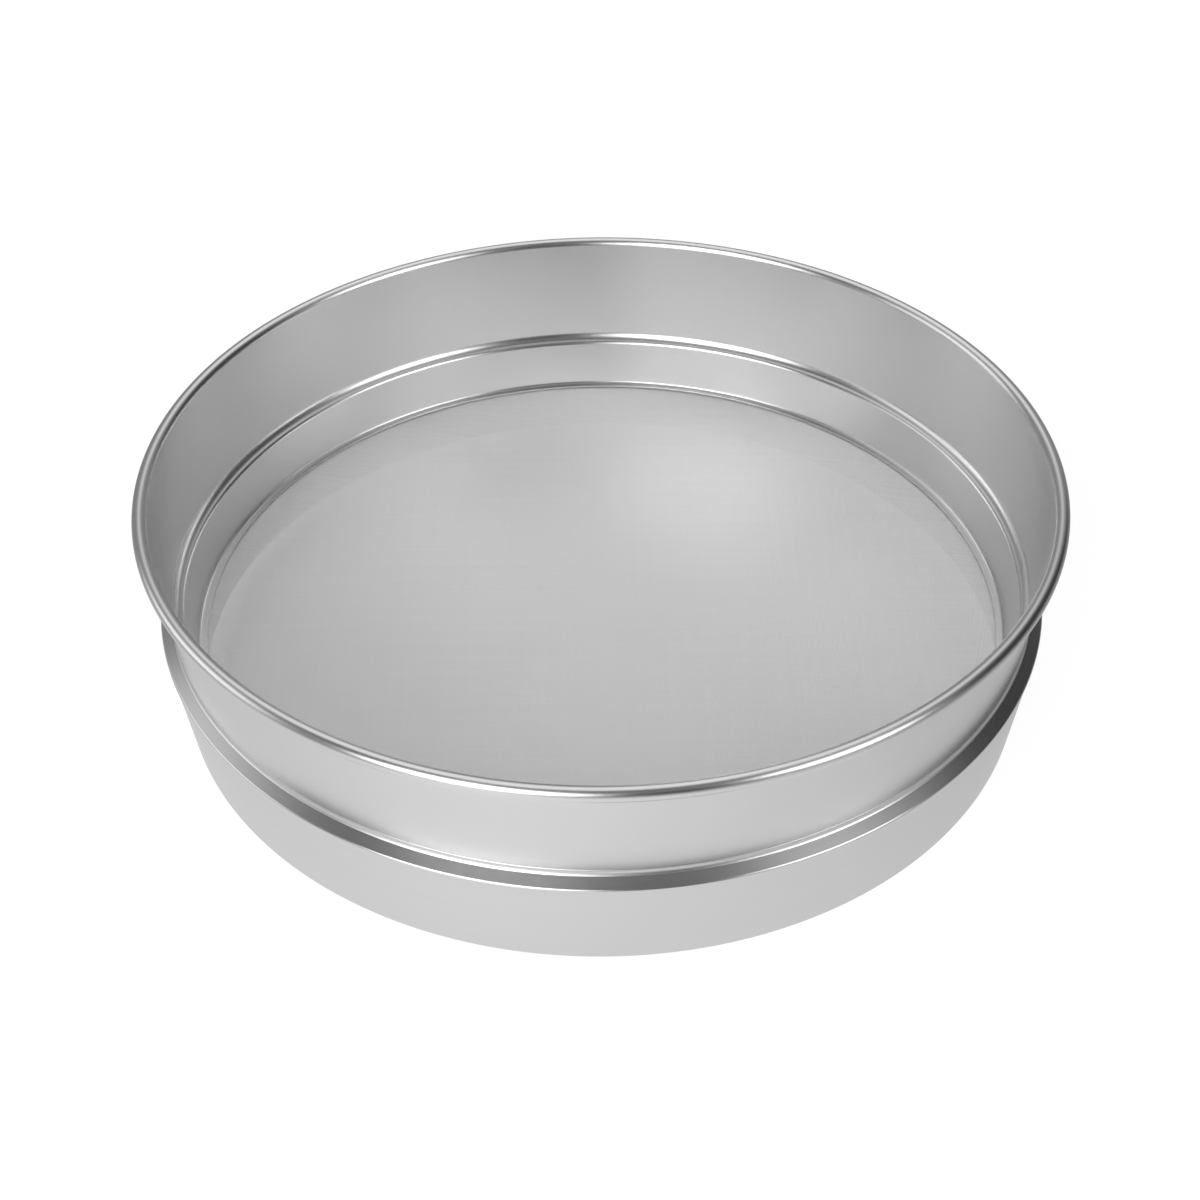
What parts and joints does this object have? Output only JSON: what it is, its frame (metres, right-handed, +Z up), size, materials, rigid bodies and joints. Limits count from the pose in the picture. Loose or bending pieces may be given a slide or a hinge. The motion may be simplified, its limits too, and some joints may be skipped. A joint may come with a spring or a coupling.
{
  "type": "kitchen sieve",
  "caption": "Round steel sieve with a rolled rim, a stepped wall, a shouldered skirt to stand on and a fine wire cloth floor, for sifting flour and straining.",
  "frame": {"origin": "on the table at the middle of the foot", "axes": "+Z up along the axis of the hoops, out through the open rim; the picture looks along +Y and down"},
  "size_m": [0.305, 0.305, 0.0774],
  "materials": {
    "hoop_steel": "satin, spun",
    "wire_steel": "drawn",
    "filler_metal": "satin, dressed",
    "cloth_steel": "woven wire"
  },
  "bodies": {
    "root": {"upper_hoop": "hoop_steel", "lower_hoop": "hoop_steel", "clamp_ring": "hoop_steel", "rim_wire": "wire_steel", "shoulder_braze": "filler_metal", "sieve_cloth": "cloth_steel"}
  },
  "joints": []
}
